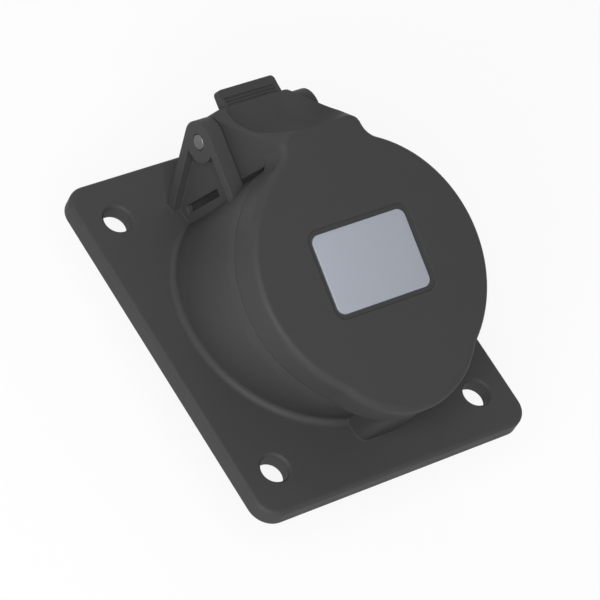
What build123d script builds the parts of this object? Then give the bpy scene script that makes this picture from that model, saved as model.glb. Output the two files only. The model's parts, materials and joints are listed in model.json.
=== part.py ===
from build123d import *
from math import atan2, cos, degrees, radians, sin, tan
import os

# A sloping panel socket outlet with a sprung lid, five contacts and a keyway at six o'clock.
# Lengths are in millimetres and angles in degrees.
# The panel frame has its origin at the centre of the flange's back face, with X along the
# hinge, Y towards the hinge and Z out of the panel.
# The socket frame sits in the middle of the lid's front face, with Z out along the socket's
# own axis, so every depth behind the lid's face is negative.

# Flange
FLANGE_WIDTH = 92.0
FLANGE_HEIGHT = 110.0
FLANGE_THICKNESS = 5.0
FLANGE_CORNER_R = 6.5
FLANGE_EDGE_R = 1.2
HOLE_INSET_X = 11.0
HOLE_INSET_Y = 13.0
HOLE_R = 4.0
HOLE_RIM = 0.6
SEAL_INSET = 3.0
SEAL_THICKNESS = 1.6
SEAL_FIT = 0.2
HOLE_PAD_R = 6.0
SEAL_MARGIN = 2.0

# Socket axis
TILT = 20.0
LID_CENTRE_Y = -12.9
LID_CENTRE_Z = 43.5

# Collar, body tube and keyway
BORE_R = 32.0
COLLAR_WALL = 4.5
COLLAR_LAND = 4.0
FOOT_WALL = 2.6
FOOT_DEPTH = 40.0
FOOT_FILLET = 1.6
LIP_WALL = 1.7
LIP_HEIGHT = 2.0
LEDGE_DEPTH = 51.5
LEDGE_THICKNESS = 3.0
LEDGE_WIDTH = 5.4
FOOT_SINK = 0.5
KEY_HALF_WIDTH = 4.2
KEY_DEPTH = 4.2
BULGE_SIDE_WALL = 3.0
BULGE_TOP_WALL = 4.0
BULGE_FLARE = 2.4
BULGE_REAR_WALL = 3.0
BULGE_FLARE_DEPTH = 28.0
BULGE_LAP = 3.0
BULGE_CORNER_R = 2.6

# Lid
LID_DEPTH = 9.6
LID_EDGE_R = 2.0
LID_PLATE = 2.9
SKIRT_WALL = 1.7
PARTING_GAP = 0.3
LOBE_R = 27.0
LOBE_MARGIN = 0.5
LOBE_BLEND_R = 12.0
NECK_BLEND_R = 6.0
NECK_FADE_ANGLE = 12.0
NECK_EDGE_SPREAD = 2.4
NECK_EDGE_DROP = 2.2
RIM_MATCH = 0.85
BLOCK_SIDE_GAP = 0.3
BLOCK_SLOPE = 57.5
BLOCK_SLOPE_RUN = 11.6
BLOCK_REAR_FALL = 3.0
BLOCK_CREST_MARGIN = 3.4
BLOCK_EDGE_SPREAD = 5.5
BLOCK_EDGE_DROP = 3.4
SCOOP_R = 22.5
SCOOP_SET_BACK = 13.6
SCOOP_DEPTH = 3.0
SCOOP_HALF_WIDTH = 15.0
SCOOP_END_R = 9.0
TAB_HALF_WIDTH = 9.6
TAB_REACH = 11.4
TAB_DROP = 24.2
TAB_THICKNESS = 3.4
TAB_CORNER_R = 1.3
GROOVE_COUNT = 3
GROOVE_PITCH = 0.95
GROOVE_WIDTH = 0.5
GROOVE_EDGE = 4.7
GROOVE_END = 1.2
RECESS_DEPTH = 0.7
LABEL_MARGIN = 1.4
LABEL_WIDTH = 31.2
LABEL_HEIGHT = 22.2
LABEL_THICKNESS = 0.5
LABEL_CORNER_R = 2.4
LABEL_S = 1.0

# Lid seal
LID_SEAL_WIDTH = 2.6
LID_SEAL_FIT = 0.1

# Hinge
PIN_R = 2.3
HINGE_REACH = 12.0
PIN_DROP = 29.0
PIN_FIT = 0.03
PIN_PLAY = 0.08
PIN_CHAMFER = 0.3
BARREL_R = 6.2
EAR_R = 5.9
EAR_OUTER = 18.7
EAR_THICKNESS = 4.7
EAR_WEB = 1.9
EAR_RIB = 2.8
EAR_LEAN = 14.0
EAR_ROOT = 4.0
EAR_SLOT_SINK = 0.2
EAR_SLOT_WIDTH = 2.2
EAR_SLOT_DEPTH = 33.0
EAR_SLOT_LENGTH = 17.5
BLOCK_GAP = 0.8
BLOCK_BACK_WALL = 2.6
POCKET_END_GAP = 1.95
POCKET_GAP = 0.5
POCKET_RISE = 4.0

# Lid spring
WIRE_R = 0.6
COIL_GAP = 1.1
COIL_PITCH = 2.2
COIL_TURNS = 5.5
LEG_GAP = 0.3

# Contact carrier
NOSE_GAP = 5.0
NOSE_DEPTH = 16.0
NOSE_EDGE_R = 1.0
NOSE_WALL = 2.2
BLOCK_FIT = 0.3
BASE_THICKNESS = 4.5
BASE_FIT = 0.3
PIN_CIRCLE_INSET = 15.0
EARTH_ANGLE = 240.0
ENTRY_GAP = 0.35
CHAMBER_GAP = 1.05
NOSE_SKIN = 3.0

# Contacts
LIVE_BORE_R = 3.05
EARTH_BORE_R = 4.05
SLEEVE_WALL = 1.1
SLEEVE_SLOT = 0.8
SLEEVE_SLOT_LENGTH = 14.0
SLEEVE_RECESS = 1.0
RING_WIRE_R = 0.5
RING_FIT = 0.05
RING_SINK = 0.1
RING_OFFSET = 4.0
RING_GAP_ANGLE = 40.0
SHOULDER_WIDTH = 0.85
TERMINAL_LENGTH = 15.0
WIRE_HOLE_R = 2.8
SHOULDER_LENGTH = 2.0
BORE_FLOOR = 2.0
WIRE_HOLE_FLOOR = 2.0
SCREW_PLACE = 9.0

# Terminal carrier
TERMINAL_CARRIER_LENGTH = 20.5
TERMINAL_FIT = 0.3
SHANK_GAP = 0.45
WINDOW_SET_BACK = 3.0
SCREW_WINDOW_HALF = 3.4

# Screws
TERMINAL_SCREW_R = 2.0
TERMINAL_HEAD_R = 3.0
TERMINAL_HEAD_HEIGHT = 2.6
FIXING_SCREW_R = 1.4
FIXING_HEAD_R = 2.2
FIXING_HEAD_HEIGHT = 1.5
FIXING_SCREW_LENGTH = 11.0
FIXING_INSET = 2.5
FIXING_BOSS_R = 2.9
FIXING_BOSS_LENGTH = 7.0
FIXING_ANGLES = (30.0, 150.0, 285.0)
CENTRE_SCREW_R = 2.0
CENTRE_HEAD_R = 3.5
CENTRE_HEAD_HEIGHT = 2.4
CENTRE_SCREW_LENGTH = 26.0
SCREW_FIT = 0.05
DRIVE_SLOT = 0.8
DRIVE_DEPTH = 0.9
SCREW_TIP_GAP = 1.0
TERMINAL_SCREW_REACH = 2.2
TERMINAL_HEAD_STAND = 0.4

# Worked out from the values above
HOLE_SPACING_X = FLANGE_WIDTH - 2 * HOLE_INSET_X
HOLE_SPACING_Y = FLANGE_HEIGHT - 2 * HOLE_INSET_Y
COLLAR_R = BORE_R + COLLAR_WALL
FOOT_R = BORE_R + FOOT_WALL
LEDGE_R = BORE_R - LEDGE_WIDTH
NOSE_R = BORE_R - NOSE_GAP
PIN_CIRCLE_R = BORE_R - PIN_CIRCLE_INSET
FIXING_CIRCLE_R = BORE_R - FIXING_INSET
KEY_REACH = BORE_R + KEY_DEPTH
BULGE_HALF_WIDTH = KEY_HALF_WIDTH + BULGE_SIDE_WALL
BULGE_TOP = KEY_REACH + BULGE_TOP_WALL
BULGE_REAR = KEY_REACH + BULGE_REAR_WALL
LOBE_REACH = BULGE_TOP + LOBE_MARGIN
PIN_S = COLLAR_R + HINGE_REACH
BLOCK_CREST = COLLAR_R + BLOCK_CREST_MARGIN
SCOOP_S = PIN_S + SCOOP_SET_BACK
TAB_TIP = PIN_S + TAB_REACH
EAR_SLOT_S = FOOT_R - EAR_SLOT_SINK
AXIS_FOOT_Y = LID_CENTRE_Y + LID_CENTRE_Z * tan(radians(TILT))
RIM = -LID_DEPTH - PARTING_GAP
EAR_INNER = EAR_OUTER - EAR_THICKNESS
BLOCK_HALF_WIDTH = EAR_INNER - BLOCK_SIDE_GAP
COIL_R = PIN_R + COIL_GAP + WIRE_R
COIL_LENGTH = COIL_PITCH * COIL_TURNS
POCKET_R = COIL_R + WIRE_R + POCKET_GAP
POCKET_HALF_WIDTH = COIL_LENGTH / 2 + WIRE_R + POCKET_END_GAP
FLOOR = -LEDGE_DEPTH
GAP_FLOOR = FLOOR + BASE_THICKNESS
FOOT_REAR = (LID_CENTRE_Z - FLANGE_THICKNESS + FOOT_R * sin(radians(TILT))) / cos(radians(TILT))
TUBE_END = min(FLOOR - LEDGE_THICKNESS, -FOOT_REAR - FOOT_SINK)
CARRIER_END = FLOOR - TERMINAL_CARRIER_LENGTH
SLEEVE_FRONT = -NOSE_DEPTH - NOSE_SKIN - SLEEVE_RECESS
TERMINAL_FRONT = FLOOR - SHOULDER_LENGTH
SCREW_DEPTH = TERMINAL_FRONT - SCREW_PLACE
CONTACTS = ("pe", "l1", "l2", "l3", "n")
socket = Plane(
    origin=(0, LID_CENTRE_Y, LID_CENTRE_Z),
    x_dir=(1, 0, 0),
    z_dir=(0, -sin(radians(TILT)), cos(radians(TILT))),
)


def disc(r, bottom, top, x=0.0, y=0.0):
    """A cylinder along Z between two heights."""
    return Pos(x, y, (bottom + top) / 2) * Cylinder(r, top - bottom)


def ring(r_out, r_in, bottom, top):
    """A plain tube along Z between two heights."""
    return disc(r_out, bottom, top) - disc(r_in, bottom - 1, top + 1)


def rod(r, x_from, x_to, y, z):
    """A cylinder along X."""
    return Pos((x_from + x_to) / 2, y, z) * Rot(0, 90, 0) * Cylinder(r, x_to - x_from)


def side_prism(points, half_width):
    """A closed outline in Y and Z, drawn out to both sides along X."""
    return extrude(Plane.YZ * Polygon(*points, align=None), amount=half_width, both=True)


def panel_yz(s, depth):
    """A point of the socket frame's middle plane, as Y and Z of the panel frame."""
    tilt = radians(TILT)
    y = LID_CENTRE_Y + s * cos(tilt) - depth * sin(tilt)
    return y, LID_CENTRE_Z + s * sin(tilt) + depth * cos(tilt)


def contact_spot(index):
    """Place of one contact in the socket frame, the earth first."""
    angle = radians(EARTH_ANGLE + index * 360 / len(CONTACTS))
    return PIN_CIRCLE_R * cos(angle), PIN_CIRCLE_R * sin(angle)


def contact_sizes(name):
    """Bore, entry hole and chamber radii of a contact."""
    bore_r = EARTH_BORE_R if name == "pe" else LIVE_BORE_R
    return bore_r, bore_r + ENTRY_GAP, bore_r + SLEEVE_WALL + CHAMBER_GAP


def terminal_r(name):
    """Radius of a contact's shoulder and of the terminal behind it."""
    return contact_sizes(name)[0] + SLEEVE_WALL + SHOULDER_WIDTH


def hole_spots():
    """Places of the four fixing holes in the flange."""
    across, along = HOLE_SPACING_X / 2, HOLE_SPACING_Y / 2
    return [(x, y) for x in (-across, across) for y in (-along, along)]


def fixing_spots():
    """Places of the carrier's fixing screws in the socket frame."""
    return [
        (FIXING_CIRCLE_R * cos(radians(a)), FIXING_CIRCLE_R * sin(radians(a)))
        for a in FIXING_ANGLES
    ]


def slotted_screw(shank_r, shank_length, head_r, head_height):
    """A slotted screw with its head's underside at the origin and its shank down Z."""
    screw = disc(head_r, 0, head_height) + disc(shank_r, -shank_length, 0.01)
    slot = Box(2 * head_r + 1, DRIVE_SLOT, 2 * DRIVE_DEPTH)
    return screw - Pos(0, 0, head_height) * slot


def flange_plate():
    """The rectangular flange, with its rounded front edge."""
    outline = RectangleRounded(FLANGE_WIDTH, FLANGE_HEIGHT, FLANGE_CORNER_R)
    plate = extrude(outline, amount=FLANGE_THICKNESS)
    return fillet(plate.faces().sort_by(Axis.Z)[-1].edges(), FLANGE_EDGE_R)


def body_tube():
    """Outer form of the tilted body, in the socket frame."""
    points = [
        (0, RIM),
        (COLLAR_R, RIM),
        (COLLAR_R, RIM - COLLAR_LAND),
        (FOOT_R, -FOOT_DEPTH),
        (FOOT_R, TUBE_END),
        (0, TUBE_END),
    ]
    return revolve(Plane.XZ * Polygon(*points, align=None), Axis.Z)


def keyway_bulge():
    """The boxy rib that holds the keyway, with rounded corners, in the socket frame."""
    points = [
        (-BORE_R, RIM),
        (-BULGE_TOP, RIM),
        (-BULGE_TOP - BULGE_FLARE, -BULGE_FLARE_DEPTH),
        (-BULGE_REAR, -FOOT_DEPTH),
        (-BULGE_REAR, GAP_FLOOR - BULGE_LAP),
        (-BORE_R, GAP_FLOOR - BULGE_LAP),
    ]
    rib = side_prism(points, BULGE_HALF_WIDTH)
    front = rib.edges().filter_by(lambda e: abs(e.center().Y) > BULGE_REAR - 0.5)
    sides = front.filter_by(lambda e: abs(abs(e.center().X) - BULGE_HALF_WIDTH) < 0.01)
    return fillet(sides, BULGE_CORNER_R)


def ear_outline(rib, foot_z, body_s):
    """Side outline of an ear in the panel frame, drawn in by the rib's width."""
    lean = radians(EAR_LEAN)
    pin_y, pin_z = panel_yz(PIN_S, -PIN_DROP)
    r = EAR_R - rib
    front = panel_yz(PIN_S, -PIN_DROP + r)
    rear = (pin_y + r * cos(lean), pin_z - r * sin(lean))
    foot = (rear[0] - (rear[1] - foot_z) * tan(lean), foot_z)
    low = panel_yz(body_s, -PIN_DROP + r)
    inner = (panel_yz(body_s, -FOOT_DEPTH)[0], foot_z)
    return [low, inner, foot, rear, front]


def ear():
    """One hinge ear on the +X side: a ribbed web with the pin's boss, in the panel frame."""
    pin_y, pin_z = panel_yz(PIN_S, -PIN_DROP)
    whole = ear_outline(0, FLANGE_THICKNESS / 2, BORE_R - EAR_ROOT)
    plate = Plane.YZ.offset(EAR_INNER) * Polygon(*whole, align=None)
    plate = extrude(plate, amount=EAR_THICKNESS) + rod(EAR_R, EAR_INNER, EAR_OUTER, pin_y, pin_z)
    inset = ear_outline(EAR_RIB, FLANGE_THICKNESS, BORE_R - 2 * EAR_ROOT)
    hollow = Plane.YZ.offset(EAR_INNER + EAR_WEB) * Polygon(*inset, align=None)
    hollow = extrude(hollow, amount=EAR_THICKNESS)
    hollow -= rod(EAR_R, EAR_INNER, EAR_OUTER + EAR_THICKNESS, pin_y, pin_z)
    return plate - hollow


def ear_slots():
    """A narrow opening through each web beside the body, in the socket frame."""
    slot = Box(EAR_THICKNESS, EAR_SLOT_WIDTH, EAR_SLOT_LENGTH)
    x = (EAR_INNER + EAR_OUTER) / 2
    depth = -EAR_SLOT_DEPTH - EAR_SLOT_LENGTH / 2
    return Pos(x, EAR_SLOT_S, depth) * slot + Pos(-x, EAR_SLOT_S, depth) * slot


def socket_bore():
    """Everything hollow inside the body, in the socket frame."""
    hollow = disc(BORE_R, FLOOR, 1)
    hollow += disc(LEDGE_R + TERMINAL_FIT, 2 * TUBE_END, FLOOR + 1)
    key = Box(2 * KEY_HALF_WIDTH, KEY_REACH, 1 - GAP_FLOOR)
    hollow += Pos(0, -KEY_REACH / 2, (1 + GAP_FLOOR) / 2) * key
    for x, y in fixing_spots():
        hollow += disc(FIXING_SCREW_R + SCREW_FIT, FLOOR - FIXING_SCREW_LENGTH, FLOOR + 1, x, y)
    return hollow


def housing():
    """Flange, sloping body, collar, keyway rib and hinge ears in one moulding."""
    reach = 4 * FLANGE_HEIGHT
    behind = Pos(0, 0, FLANGE_THICKNESS / 2 - reach / 2) * Box(reach, reach, reach)
    tube = socket * body_tube()
    raised = flange_plate() + (tube - behind)
    foot = [
        e for e in raised.edges()
        if abs(e.center().Z - FLANGE_THICKNESS) < 0.01
        and abs(e.bounding_box().max.Z - e.bounding_box().min.Z) < 0.01
        and e.geom_type != GeomType.LINE
        and e.length > BORE_R
    ]
    raised = fillet(foot, FOOT_FILLET)
    body = raised + tube + socket * keyway_bulge()
    body += ear() + mirror(ear(), Plane.YZ)
    for x, y in fixing_spots():
        boss = disc(FIXING_BOSS_R, TUBE_END - FIXING_BOSS_LENGTH, TUBE_END + 1, x, y)
        body += socket * boss
    body += socket * ring(BORE_R + LIP_WALL, BORE_R, RIM - 1, RIM + LIP_HEIGHT)
    body -= socket * socket_bore()
    body -= socket * ear_slots()
    body -= seal_space()
    rim = Cone(HOLE_R, HOLE_R + HOLE_RIM, HOLE_RIM)
    for x, y in hole_spots():
        body -= disc(HOLE_R, -1, FLANGE_THICKNESS + 1, x, y)
        body -= Pos(x, y, FLANGE_THICKNESS - HOLE_RIM / 2) * rim
    pin_y, pin_z = panel_yz(PIN_S, -PIN_DROP)
    return body - rod(PIN_R + PIN_FIT, -EAR_OUTER - 1, EAR_OUTER + 1, pin_y, pin_z)


def seal_outline(inset):
    """The flange seal's outline, open round the body and round the pad of each hole."""
    grow = 2 * inset
    width = FLANGE_WIDTH - 2 * SEAL_INSET - grow
    height = FLANGE_HEIGHT - 2 * SEAL_INSET - grow
    outer = RectangleRounded(width, height, FLANGE_CORNER_R - SEAL_INSET + 1)
    inner_r = FOOT_R + SEAL_MARGIN + inset
    inner = Pos(0, AXIS_FOOT_Y) * Ellipse(inner_r, (inner_r + 1) / cos(radians(TILT)))
    key_end = panel_yz(-BULGE_REAR, -FOOT_DEPTH)[0]
    width_key = 2 * (BULGE_HALF_WIDTH + SEAL_MARGIN + inset)
    depth_key = AXIS_FOOT_Y - key_end + SEAL_MARGIN + inset
    inner += Pos(0, AXIS_FOOT_Y - depth_key / 2) * Rectangle(width_key, depth_key)
    outline = outer - inner
    for x, y in hole_spots():
        outline -= Pos(x, y) * Circle(HOLE_PAD_R + inset)
    return outline


def seal_space():
    """The shallow recess in the flange's back that holds the flange seal."""
    return extrude(seal_outline(0.0), amount=SEAL_THICKNESS)


def flange_seal():
    """Flat rubber seal between the flange and the panel."""
    return extrude(seal_outline(SEAL_FIT), amount=SEAL_THICKNESS)


def lid_plan():
    """Front outline of the lid: a disc, the lobe over the keyway and the hinge block."""
    lobe = Pos(0, LOBE_R - LOBE_REACH) * Circle(LOBE_R)
    block = Pos(0, BARREL_R + PIN_S / 2) * Rectangle(2 * BLOCK_HALF_WIDTH, PIN_S)
    plan = Circle(COLLAR_R) + lobe + block
    waist = [v for v in plan.vertices() if -COLLAR_R < v.Y < -COLLAR_R * 0.6]
    plan = fillet(waist, LOBE_BLEND_R)
    neck = [v for v in plan.vertices() if COLLAR_R * 0.8 < v.Y < COLLAR_R]
    return fillet(neck, NECK_BLEND_R)


def block_fall():
    """Side outline that cuts the lid's top down from its flat face to the hinge."""
    rear = PIN_S + BARREL_R
    fall = BLOCK_SLOPE_RUN * tan(radians(BLOCK_SLOPE))
    return [
        (-2 * COLLAR_R, -2 * COLLAR_R),
        (-2 * COLLAR_R, 0),
        (BLOCK_CREST, 0),
        (BLOCK_CREST + BLOCK_SLOPE_RUN, -fall),
        (rear, -fall - BLOCK_REAR_FALL),
        (rear, -2 * COLLAR_R),
    ]


def lid_top():
    """The lid's outer form, rounded all round its front edge, in the socket frame."""
    tall = Pos(0, 0, -COLLAR_R) * extrude(lid_plan(), amount=COLLAR_R)
    form = tall & side_prism(block_fall(), 2 * COLLAR_R)
    top = [
        e for e in form.edges()
        if e.bounding_box().min.Z > -COLLAR_R + 0.5
        and e.bounding_box().size.X + e.bounding_box().size.Y > 0.01
        and not (e.geom_type == GeomType.LINE and e.bounding_box().size.X > BLOCK_HALF_WIDTH)
    ]
    form = fillet(top, LID_EDGE_R)
    rear = [e for e in form.edges().filter_by(Axis.Z) if e.center().Y > PIN_S]
    form = fillet(rear, LID_EDGE_R)
    waste = edge_waste()
    return form - waste - mirror(waste, Plane.YZ)


def corner_waste(spread, drop, plane):
    """The waste outside a rounded edge; the plane's X points out of the lid and its Y up."""
    proud = drop * 0.01
    margin = LID_EDGE_R
    curve = EllipticalCenterArc((-spread, -drop), spread + proud, drop + proud, 0, arc_size=90)
    lines = Polyline(
        (-spread, proud), (-spread, margin), (margin, margin), (margin, -drop), (proud, -drop)
    )
    return plane * make_face(lines + curve)


def edge_waste():
    """Cutter on the +X side whose rounding grows from the disc's rim to the block's crest."""
    x = BLOCK_HALF_WIDTH + NECK_BLEND_R
    y = ((COLLAR_R + NECK_BLEND_R) ** 2 - x ** 2) ** 0.5
    turn = degrees(atan2(y, x))
    side = Line((BLOCK_HALF_WIDTH, BLOCK_CREST), (BLOCK_HALF_WIDTH, y))
    neck = CenterArc((x, y), NECK_BLEND_R, 180, turn)
    rim = CenterArc((0, 0), COLLAR_R, turn, -NECK_FADE_ANGLE)
    path = Wire([side, neck, rim])
    stations = (
        (0, BLOCK_EDGE_SPREAD, BLOCK_EDGE_DROP),
        (side.length / path.length, NECK_EDGE_SPREAD, NECK_EDGE_DROP),
        (1, RIM_MATCH * LID_EDGE_R, RIM_MATCH * LID_EDGE_R),
    )
    sections = []
    for place, spread, drop in stations:
        out = Vector(0, 0, 1).cross(path % place)
        across = Plane(origin=path @ place, x_dir=out, z_dir=path % place)
        sections.append(corner_waste(spread, drop, across))
    waste = sweep(sections, path=path, multisection=True)
    slope = radians(BLOCK_SLOPE)
    crest = Plane(
        origin=(BLOCK_HALF_WIDTH, BLOCK_CREST, 0),
        x_dir=(1, 0, 0),
        z_dir=(0, -cos(slope), sin(slope)),
    )
    rear = corner_waste(BLOCK_EDGE_SPREAD, BLOCK_EDGE_DROP, crest)
    return waste + extrude(rear, amount=-COLLAR_R)


def block_space():
    """The part of the lid's outer form that the hinge block fills, in the socket frame."""
    front = COLLAR_R + BLOCK_GAP
    points = [
        (0, 1),
        (TAB_TIP, 1),
        (TAB_TIP, -PIN_DROP + 1),
        (PIN_S + BARREL_R, -PIN_DROP + 1),
        (PIN_S + BARREL_R, -PIN_DROP),
        (PIN_S, -PIN_DROP - BARREL_R),
        (front, -PIN_DROP + 2),
        (0, -PIN_DROP + 2),
    ]
    block = side_prism(points, BLOCK_HALF_WIDTH) + rod(
        BARREL_R, -BLOCK_HALF_WIDTH, BLOCK_HALF_WIDTH, PIN_S, -PIN_DROP
    )
    return block - disc(COLLAR_R + BLOCK_GAP, -COLLAR_R, -LID_DEPTH)


def thumb_tab():
    """The lip behind the hinge that lifts the lid, hollowed by the scoop, in the socket frame."""
    tab = Box(2 * TAB_HALF_WIDTH, TAB_REACH, TAB_THICKNESS)
    tab = fillet(tab.edges().filter_by(Axis.Z).sort_by(Axis.Y)[-2:], TAB_CORNER_R)
    tab = Pos(0, PIN_S + TAB_REACH / 2, -TAB_DROP - TAB_THICKNESS / 2) * tab
    return tab - rod(SCOOP_R, -COLLAR_R, COLLAR_R, SCOOP_S, -SCOOP_DEPTH)


def scoop():
    """The thumb scoop's cutter: a roller with rounded ends across the hinge block."""
    edge = SCOOP_R - SCOOP_END_R
    half = SCOOP_HALF_WIDTH - SCOOP_END_R
    ends = (-SCOOP_HALF_WIDTH, edge), (SCOOP_HALF_WIDTH, edge)
    outline = Polyline(ends[0], (-SCOOP_HALF_WIDTH, 0), (SCOOP_HALF_WIDTH, 0), ends[1])
    outline += Line((-half, SCOOP_R), (half, SCOOP_R))
    outline += CenterArc((half, edge), SCOOP_END_R, 0, 90)
    outline += CenterArc((-half, edge), SCOOP_END_R, 90, 90)
    return Pos(0, SCOOP_S, -SCOOP_DEPTH) * revolve(make_face(outline), Axis.X)


def grooves():
    """Grip grooves across the thumb tab."""
    cuts = []
    for index in range(GROOVE_COUNT):
        s = TAB_TIP - GROOVE_EDGE + index * GROOVE_PITCH
        sag = (SCOOP_R ** 2 - (SCOOP_S - s) ** 2) ** 0.5
        bar = Box(2 * (TAB_HALF_WIDTH - GROOVE_END), GROOVE_WIDTH, 2 * GROOVE_WIDTH)
        cuts.append(Pos(0, s, -SCOOP_DEPTH - sag) * bar)
    return cuts


def spring_pocket():
    """The hollow in the hinge block that clears the lid spring."""
    points = [
        (COLLAR_R + BLOCK_BACK_WALL, -2 * COLLAR_R),
        (COLLAR_R + BLOCK_BACK_WALL, -LID_DEPTH),
        (PIN_S - POCKET_R, -PIN_DROP + POCKET_R + POCKET_RISE),
        (PIN_S, -PIN_DROP + POCKET_R),
        (PIN_S + POCKET_R, -PIN_DROP),
        (PIN_S + POCKET_R, -2 * COLLAR_R),
    ]
    pocket = side_prism(points, POCKET_HALF_WIDTH)
    return pocket + rod(POCKET_R, -POCKET_HALF_WIDTH, POCKET_HALF_WIDTH, PIN_S, -PIN_DROP)


def lid():
    """Lid disc, skirt, lobe, hinge block and thumb tab in one moulding."""
    keep = Pos(0, 0, -LID_DEPTH / 2) * Box(8 * COLLAR_R, 8 * COLLAR_R, LID_DEPTH)
    top = lid_top()
    body = (top & keep) + (top & block_space())
    lobe = Pos(0, LOBE_R - LOBE_REACH) * Circle(LOBE_R - SKIRT_WALL)
    hollow = Circle(COLLAR_R - SKIRT_WALL) + lobe
    body -= Pos(0, 0, -LID_DEPTH - 1) * extrude(hollow, amount=LID_DEPTH + 1 - LID_PLATE)
    body -= scoop()
    body += thumb_tab()
    for cut in grooves():
        body -= cut
    body -= spring_pocket()
    body -= rod(PIN_R + PIN_PLAY, -EAR_OUTER, EAR_OUTER, PIN_S, -PIN_DROP)
    recess = RectangleRounded(
        LABEL_WIDTH + 2 * LABEL_MARGIN, LABEL_HEIGHT + 2 * LABEL_MARGIN, LABEL_CORNER_R + 1
    )
    body -= Pos(0, LABEL_S, -RECESS_DEPTH) * extrude(recess, amount=2 * RECESS_DEPTH)
    return socket * body


def label():
    """Blank rating label in the lid's recess."""
    plate = extrude(
        RectangleRounded(LABEL_WIDTH, LABEL_HEIGHT, LABEL_CORNER_R), amount=LABEL_THICKNESS
    )
    return socket * Pos(0, LABEL_S, -RECESS_DEPTH) * plate


def lid_seal():
    """Rubber ring under the lid, which the collar's lip presses on."""
    r_out = COLLAR_R - SKIRT_WALL - LID_SEAL_FIT
    bottom = RIM + LIP_HEIGHT + PARTING_GAP
    return socket * ring(r_out, r_out - LID_SEAL_WIDTH, bottom, -LID_PLATE)


def hinge_pin():
    """Steel pin through both ears and the lid's knuckles."""
    pin = rod(PIN_R, -EAR_OUTER, EAR_OUTER, PIN_S, -PIN_DROP)
    return socket * chamfer(pin.edges().filter_by(GeomType.CIRCLE), PIN_CHAMFER)


def lid_spring():
    """Torsion spring round the pin, one leg on the body and one under the lid."""
    coil_path = Helix(pitch=COIL_PITCH, height=COIL_LENGTH, radius=COIL_R)
    wire = Plane(origin=coil_path @ 0, z_dir=coil_path % 0) * Circle(WIRE_R)
    spring = sweep(wire, path=coil_path)
    body_leg = PIN_S - COLLAR_R - LEG_GAP
    lid_leg = body_leg - BLOCK_BACK_WALL
    spring += Pos(COIL_R, -body_leg / 2, 0) * Rot(90, 0, 0) * Cylinder(WIRE_R, body_leg)
    spring += Pos(-COIL_R, -lid_leg / 2, COIL_LENGTH) * Rot(90, 0, 0) * Cylinder(WIRE_R, lid_leg)
    place = Plane(origin=(-COIL_LENGTH / 2, PIN_S, -PIN_DROP), x_dir=(0, 0, -1), z_dir=(1, 0, 0))
    return socket * (place * spring)


def contact_carrier():
    """The hollow nose that the plug goes over, with its pin holes and base."""
    nose = disc(NOSE_R, FLOOR, -NOSE_DEPTH)
    nose = fillet(nose.edges().sort_by(Axis.Z)[-1], NOSE_EDGE_R)
    body = nose + disc(BORE_R - BASE_FIT, FLOOR, GAP_FLOOR)
    body -= disc(NOSE_R - NOSE_WALL, FLOOR - 1, -NOSE_DEPTH - NOSE_SKIN)
    for index, name in enumerate(CONTACTS):
        x, y = contact_spot(index)
        body -= disc(contact_sizes(name)[1], -NOSE_DEPTH - NOSE_SKIN - 1, 1 - NOSE_DEPTH, x, y)
    seat = GAP_FLOOR - FIXING_HEAD_HEIGHT
    for x, y in fixing_spots():
        body -= disc(FIXING_SCREW_R + SCREW_FIT, FLOOR - 1, GAP_FLOOR + 1, x, y)
        body -= disc(FIXING_HEAD_R + SCREW_FIT, seat, GAP_FLOOR + 1, x, y)
    return socket * body


def contact_block():
    """The insulator inside the nose, with a chamber for each contact."""
    body = disc(NOSE_R - NOSE_WALL - BLOCK_FIT, FLOOR, -NOSE_DEPTH - NOSE_SKIN - BLOCK_FIT)
    for index, name in enumerate(CONTACTS):
        x, y = contact_spot(index)
        body -= disc(contact_sizes(name)[2], FLOOR - 1, -NOSE_DEPTH, x, y)
    tapped = FLOOR + CENTRE_SCREW_LENGTH - TERMINAL_CARRIER_LENGTH + SCREW_TIP_GAP
    body -= disc(CENTRE_SCREW_R + SCREW_FIT, FLOOR - 1, tapped)
    return socket * body


def terminal_carrier():
    """The rear insulator that holds the terminals, open behind and at each screw."""
    body = disc(LEDGE_R - TERMINAL_FIT, CARRIER_END, FLOOR)
    for index, name in enumerate(CONTACTS):
        x, y = contact_spot(index)
        body -= disc(terminal_r(name) + TERMINAL_FIT, CARRIER_END - 1, TERMINAL_FRONT, x, y)
        shank_r = contact_sizes(name)[0] + SLEEVE_WALL + SHANK_GAP
        body -= disc(shank_r, TERMINAL_FRONT - 1, FLOOR + 1, x, y)
        window = Box(PIN_CIRCLE_R, 2 * SCREW_WINDOW_HALF, TERMINAL_LENGTH)
        angle = EARTH_ANGLE + index * 360 / len(CONTACTS)
        depth = TERMINAL_FRONT - TERMINAL_LENGTH / 2 - WINDOW_SET_BACK
        body -= Rot(0, 0, angle) * Pos(1.5 * PIN_CIRCLE_R, 0, depth) * window
    seat = CARRIER_END + CENTRE_HEAD_HEIGHT
    body -= disc(CENTRE_SCREW_R + SCREW_FIT, CARRIER_END - 1, FLOOR + 1)
    body -= disc(CENTRE_HEAD_R + SCREW_FIT, CARRIER_END - 1, seat)
    return socket * body


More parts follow.
